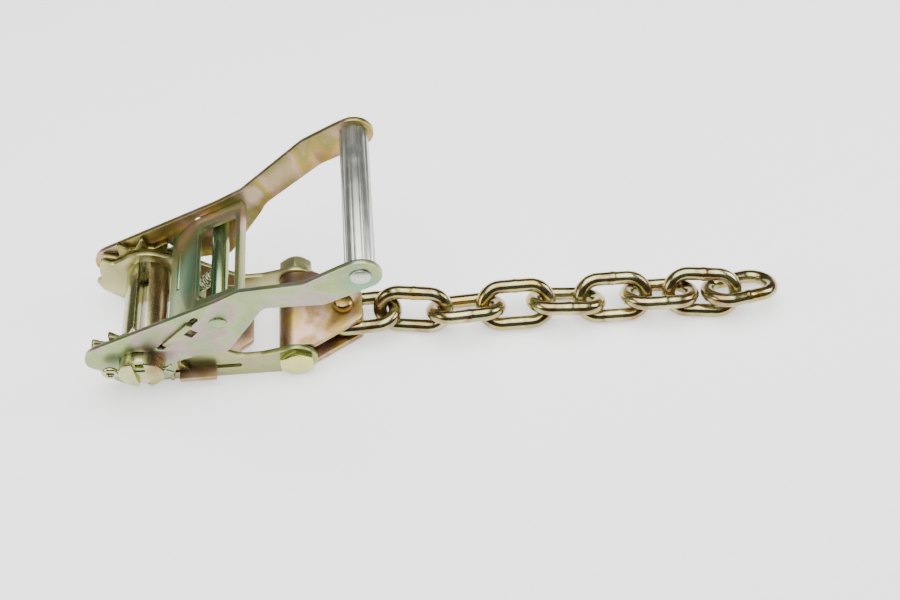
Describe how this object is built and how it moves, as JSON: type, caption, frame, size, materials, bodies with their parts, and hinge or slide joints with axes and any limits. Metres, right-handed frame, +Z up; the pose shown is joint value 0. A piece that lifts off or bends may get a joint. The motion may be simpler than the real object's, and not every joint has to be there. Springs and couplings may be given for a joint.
{
  "type": "ratchet buckle with anchor chain",
  "caption": "Webbing ratchet buckle with a long wide handle, slotted spool, spring pawls and a clevis plate holding a tail of welded chain.",
  "frame": {"origin": "on the spool axis, midway between the cheeks", "axes": "+X towards the chain, +Y along the spool to the nut's side, +Z up"},
  "size_m": [0.4082, 0.1034, 0.1278],
  "materials": {
    "yellow_zinc": "yellow passivated zinc on pressed steel, pale sage to khaki",
    "dark_zinc": "yellow passivated zinc, darker olive",
    "chain_zinc": "bright yellow passivated zinc on drawn bar",
    "spring_steel": "zinc plated spring wire",
    "bare_aluminium": "bare extruded aluminium, fluted"
  },
  "bodies": {
    "base": {"near_cheek": "yellow_zinc", "far_cheek": "yellow_zinc", "base_cross_plate": "dark_zinc", "anchor_bolt": "yellow_zinc", "anchor_nut": "yellow_zinc", "locking_pawl_spring": "spring_steel"},
    "spool": {"spool_bar_front": "yellow_zinc", "spool_bar_rear": "yellow_zinc", "near_ratchet_wheel": "dark_zinc", "far_ratchet_wheel": "dark_zinc", "near_spool_spacer": "yellow_zinc", "far_spool_spacer": "yellow_zinc", "near_cotter_pin": "spring_steel", "far_cotter_pin": "spring_steel"},
    "handle": {"near_handle_plate": "yellow_zinc", "far_handle_plate": "yellow_zinc", "grip_tube": "bare_aluminium", "grip_rod": "bare_aluminium", "handle_cross_rod": "yellow_zinc", "drive_pawl_spring": "spring_steel"},
    "drive": {"drive_pawl": "yellow_zinc"},
    "lock": {"locking_pawl": "dark_zinc"},
    "anchor": {"anchor_plate": "yellow_zinc", "anchor_pin": "yellow_zinc"},
    "link_1": {"chain_link_1": "chain_zinc"},
    "link_2": {"chain_link_2": "chain_zinc"},
    "link_3": {"chain_link_3": "chain_zinc"},
    "link_4": {"chain_link_4": "chain_zinc"},
    "link_5": {"chain_link_5": "chain_zinc"},
    "link_6": {"chain_link_6": "chain_zinc"},
    "link_7": {"chain_link_7": "chain_zinc"},
    "link_8": {"chain_link_8": "chain_zinc"},
    "link_9": {"chain_link_9": "chain_zinc"}
  },
  "joints": [
    {"name": "spool_turn", "type": "hinge", "parent": "base", "child": "spool", "pos_m": [0, 0, 0], "axis": [0, -1, 0], "continuous": true},
    {"name": "handle_swing", "type": "hinge", "parent": "base", "child": "handle", "pos_m": [0, 0, 0], "axis": [0, -1, 0], "range_deg": [-30, 120]},
    {"name": "drive_pawl_slide", "type": "slide", "parent": "handle", "child": "drive", "axis": [0.6756, 0, 0.7373], "range_m": [-0.0053, 0.005], "stiffness_N_per_m": 400, "deforming": ["drive_pawl_spring"]},
    {"name": "locking_pawl_slide", "type": "slide", "parent": "base", "child": "lock", "axis": [1, 0, 0], "range_m": [0, 0.01], "stiffness_N_per_m": 600, "springref_m": -0.002, "deforming": ["locking_pawl_spring"]},
    {"name": "anchor_swing", "type": "hinge", "parent": "base", "child": "anchor", "pos_m": [0.0855, 0, -0.0168], "axis": [0, -1, 0], "range_deg": [-60, 45]},
    {"name": "link_1_swing", "type": "hinge", "parent": "anchor", "child": "link_1", "pos_m": [0.114, 0, -0.0168], "axis": [0, 0, 1], "range_deg": [-45, 45]},
    {"name": "link_2_tilt", "type": "hinge", "parent": "link_1", "child": "link_2", "pos_m": [0.14435, 0, -0.0152], "axis": [0.0097, 0.9903, -0.1388], "range_deg": [-30, 30]},
    {"name": "link_3_tilt", "type": "hinge", "parent": "link_2", "child": "link_3", "pos_m": [0.1751, -0.0043, -0.0142], "axis": [0.0566, 0.4028, 0.9135], "range_deg": [-30, 30]},
    {"name": "link_4_tilt", "type": "hinge", "parent": "link_3", "child": "link_4", "pos_m": [0.2065, -0.00115, -0.01595], "axis": [-0.1015, 0.8424, -0.5292], "range_deg": [-30, 30]},
    {"name": "link_5_tilt", "type": "hinge", "parent": "link_4", "child": "link_5", "pos_m": [0.2367, -0.0023, -0.01485], "axis": [-0.0125, 0.6947, 0.7192], "range_deg": [-30, 30]},
    {"name": "link_6_tilt", "type": "hinge", "parent": "link_5", "child": "link_6", "pos_m": [0.26695, -0.00165, -0.0181], "axis": [-0.0222, 0.8486, -0.5286], "range_deg": [-30, 30]},
    {"name": "link_7_tilt", "type": "hinge", "parent": "link_6", "child": "link_7", "pos_m": [0.2956, -0.001, -0.016], "axis": [0, 0.6947, 0.7193], "range_deg": [-30, 30]},
    {"name": "link_8_tilt", "type": "hinge", "parent": "link_7", "child": "link_8", "pos_m": [0.32409, 0.00005, -0.0177], "axis": [-0.0314, 0.8906, -0.4537], "range_deg": [-30, 30]},
    {"name": "link_9_tilt", "type": "hinge", "parent": "link_8", "child": "link_9", "pos_m": [0.34965, -0.00445, -0.0159], "axis": [0.0767, 0.6246, 0.7771], "range_deg": [-30, 30]}
  ]
}
